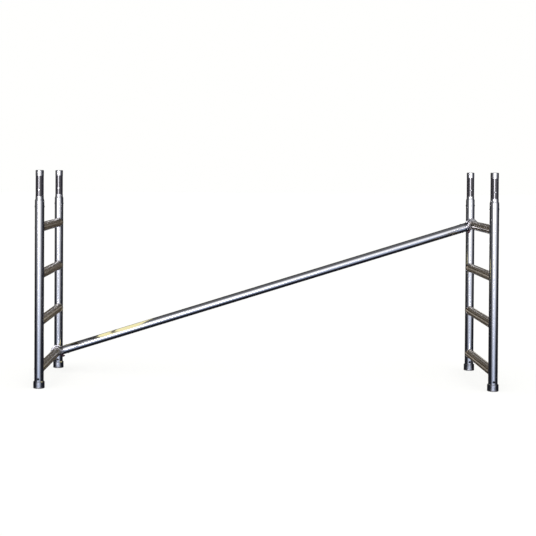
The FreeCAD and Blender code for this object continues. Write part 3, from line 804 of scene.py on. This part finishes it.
def makeClaw(values):
    # the ring round the rung and the neck, in the brace's own frame: X along it, Z square to it
    half, rim, step = clawHalf, values["rim"], values["shoulderStep"]
    flangeFrom = half - values["flangeWidth"]
    barrel, flange = values["barrel"], values["flange"]
    claw = settle(turnedBar([
        (-half, barrel - rim),
        (rim - half, barrel),
        (flangeFrom - values["grooveWidth"], barrel),
        (flangeFrom - values["grooveWidth"] / 2, values["groove"]),
        (flangeFrom, values["groove"]),
        (flangeFrom + step, flange - rim),
        (flangeFrom + rim, flange),
        (half - rim, flange),
        (half, flange - rim),
    ], values["edges"]), (-90, 0, 0))
    neckEnd, plug = values["neckEnd"], values["plug"]
    stem = settle(turnedBar([
        (0.0, tubeRadius),
        (neckEnd - rim, tubeRadius),
        (neckEnd, tubeRadius - rim),
        (neckEnd + step, plug),
        (values["plugEnd"] - values["plugChamfer"], plug),
        (values["plugEnd"], plug - values["plugChamfer"]),
    ], values["edges"]), (0, 90, 0))
    combine(claw, stem, "UNION")
    through = values["through"]
    hollow = turnedBar([(values["plugBoreStart"], values["plugBore"]), (through, values["plugBore"])],
                       values["plugBoreEdges"])
    combine(claw, settle(hollow, (0, 90, 0)), "DIFFERENCE")
    drilled(claw, values["bore"], "Y", (0, 0, 0))
    reach, bore, arm = values["mouthReach"], values["bore"], values["armLow"]
    mouth = tracedPlate([(bore, 0), (bore, -reach), (-reach, -reach), (-reach, -arm), (-bore, -arm),
                         (-bore, 0)], through)
    combine(claw, mouth, "DIFFERENCE")
    start, end, top, bottom, width = values["slot"]
    slot = tracedPlate([(start, top), (start, bottom), (end, bottom), (end, top)], width)
    combine(claw, slot, "DIFFERENCE")
    softenEdges(claw, values["softEdge"])
    drilled(claw, values["pinHole"], "Y", (values["pivot"][0], 0, values["pivot"][1]))
    drilled(claw, values["rivetHole"], "Z", (values["rivetAt"], 0, 0))
    smoothed(claw)
    return claw


triggerShape = {
    "outline": [(0.0165, -0.02112), (0.02168, -0.01575), (0.0338, -0.0054), (0.0428, -0.0132),
                (0.0328, -0.0272), (0.0402, -0.0330), (0.0382, -0.0370), (0.0340, -0.0390),
                (0.0274, -0.0376), (0.0236, -0.0308), (0.0175, -0.0272)],
    "width": 0.0138,
    "rounding": 0.0009,
    "boss": 0.0065,
    "bossChamfer": 0.0005,
    "bossEdges": 44,
    "pocketEdges": 48,
    "pinHole": 0.00308,
    "springPocket": (0.0069, 0.0064),  # radius and width
}


def makeTrigger(values):
    # nose under the rung, boss on the pin and a finger below
    x, z = clawShape["pivot"]
    width = values["width"]
    trigger = tracedPlate(values["outline"], width, values["rounding"])
    bossRadius, chamfer = values["boss"], values["bossChamfer"]
    boss = turnedBar([
        (-width / 2, bossRadius - chamfer),
        (chamfer - width / 2, bossRadius),
        (width / 2 - chamfer, bossRadius),
        (width / 2, bossRadius - chamfer),
    ], values["bossEdges"])
    combine(trigger, settle(boss, (-90, 0, 0), (x, 0, z)), "UNION")
    drilled(trigger, values["pinHole"], "Y", (x, 0, z))
    radius, deep = values["springPocket"]
    pocket = turnedBar([(-deep / 2, radius), (deep / 2, radius)], values["pocketEdges"])
    combine(trigger, settle(pocket, (-90, 0, 0), (x, 0, z)), "DIFFERENCE")
    smoothed(trigger)
    return trigger


def atBraceEnd(pattern, end, name, slotName, node, body):
    # a copy of the pattern at one end of the brace, mirrored for the high end
    piece = ownCopy(pattern)
    piece.name = name
    settle(piece, size=(clawEnds[end]["side"], 1, 1))
    settle(piece, (0, -slope, 0), clawEnds[end]["place"])
    dress(piece, slotName)
    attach(piece, body)
    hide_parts(node)


clawPattern = makeClaw(clawShape)
triggerPattern = makeTrigger(triggerShape)
for end in clawEnds:
    atBraceEnd(clawPattern, end, f"clawCasting_{end}", "claw_casting", f"brace_claw_{end}", "brace")
    atBraceEnd(triggerPattern, end, f"triggerLever_{end}", "trigger", f"trigger_{end}", f"trigger_{end}")
bpy.data.objects.remove(clawPattern)
bpy.data.objects.remove(triggerPattern)
print("claws and triggers made")


weldShape = {
    "radius": 0.0034,
    "ripples": 46,  # round a whole joint
    "stepsPerRipple": 6,
    "rippleDepth": 0.17,
    "thinAtSides": 0.6,  # where the tubes run side by side
    "standOff": 0.00015,
    "softEdge": 0.0001,
    "softAngle": 60,
}


def makeBead(values):
    # the upper half of the bead where a rung meets an upright beyond it, at the origin
    steps = values["ripples"] * values["stepsPerRipple"]
    bpy.ops.object.select_all(action="DESELECT")
    bpy.ops.mesh.primitive_circle_add(vertices=steps, radius=tubeRadius, fill_type="NOTHING")
    bead = bpy.context.object
    settle(bead, (-45, 0, 0), size=(1, math.sqrt(2), 1))
    bpy.ops.object.convert(target="CURVE")
    bead = bpy.context.object
    for index, point in enumerate(bead.data.splines[0].points):
        phase = index % values["stepsPerRipple"] / values["stepsPerRipple"]
        side = abs(point.co.x) / tubeRadius
        thinner = 1.0 - values["thinAtSides"] * side ** 10
        point.radius = thinner * (1.0 - values["rippleDepth"] * phase ** 1.6)  # each drop laps the last
    bead.data.dimensions = "3D"
    bead.data.bevel_depth = values["radius"]
    bead.data.bevel_resolution = 3
    bpy.ops.object.convert(target="MESH")
    bead = bpy.context.object
    bpy.ops.object.mode_set(mode="EDIT")
    bpy.ops.mesh.select_all(action="SELECT")
    bpy.ops.mesh.bisect(plane_co=(0, 0, 0), plane_no=(0, 0, 1), clear_inner=True, use_fill=True)
    outward()
    bare = tubeRadius + values["standOff"]
    drilled(bead, bare, "Z", (0, 0, 0))
    drilled(bead, bare, "Y", (0, 0, 0))
    softenEdges(bead, values["softEdge"], values["softAngle"])
    return bead


def makeWelds(side, pattern):
    beads = []
    for rung in range(1, 5):
        at = middle(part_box(f"{side}_rung_{rung}"))
        for end, sign in (("near", -1), ("far", 1)):
            post = middle(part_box(f"{side}_upright_{end}"))
            for half in (1, -1):
                bead = ownCopy(pattern)
                settle(bead, size=(1, sign, half))
                settle(bead, place=(at.x, post.y, at.z))
                beads.append(bead)
    bpy.ops.object.select_all(action="DESELECT")
    for bead in beads:
        bead.select_set(True)
    bpy.context.view_layer.objects.active = beads[0]
    bpy.ops.object.join()
    welds = bpy.context.object
    welds.name = f"{side}RungWelds"
    dress(welds, "weld")
    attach(welds, f"{side}_frame")
    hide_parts(f"{side}_rung_welds")


beadPattern = makeBead(weldShape)
for side in ("left", "right"):
    makeWelds(side, beadPattern)
bpy.data.objects.remove(beadPattern)
print("weld beads made")
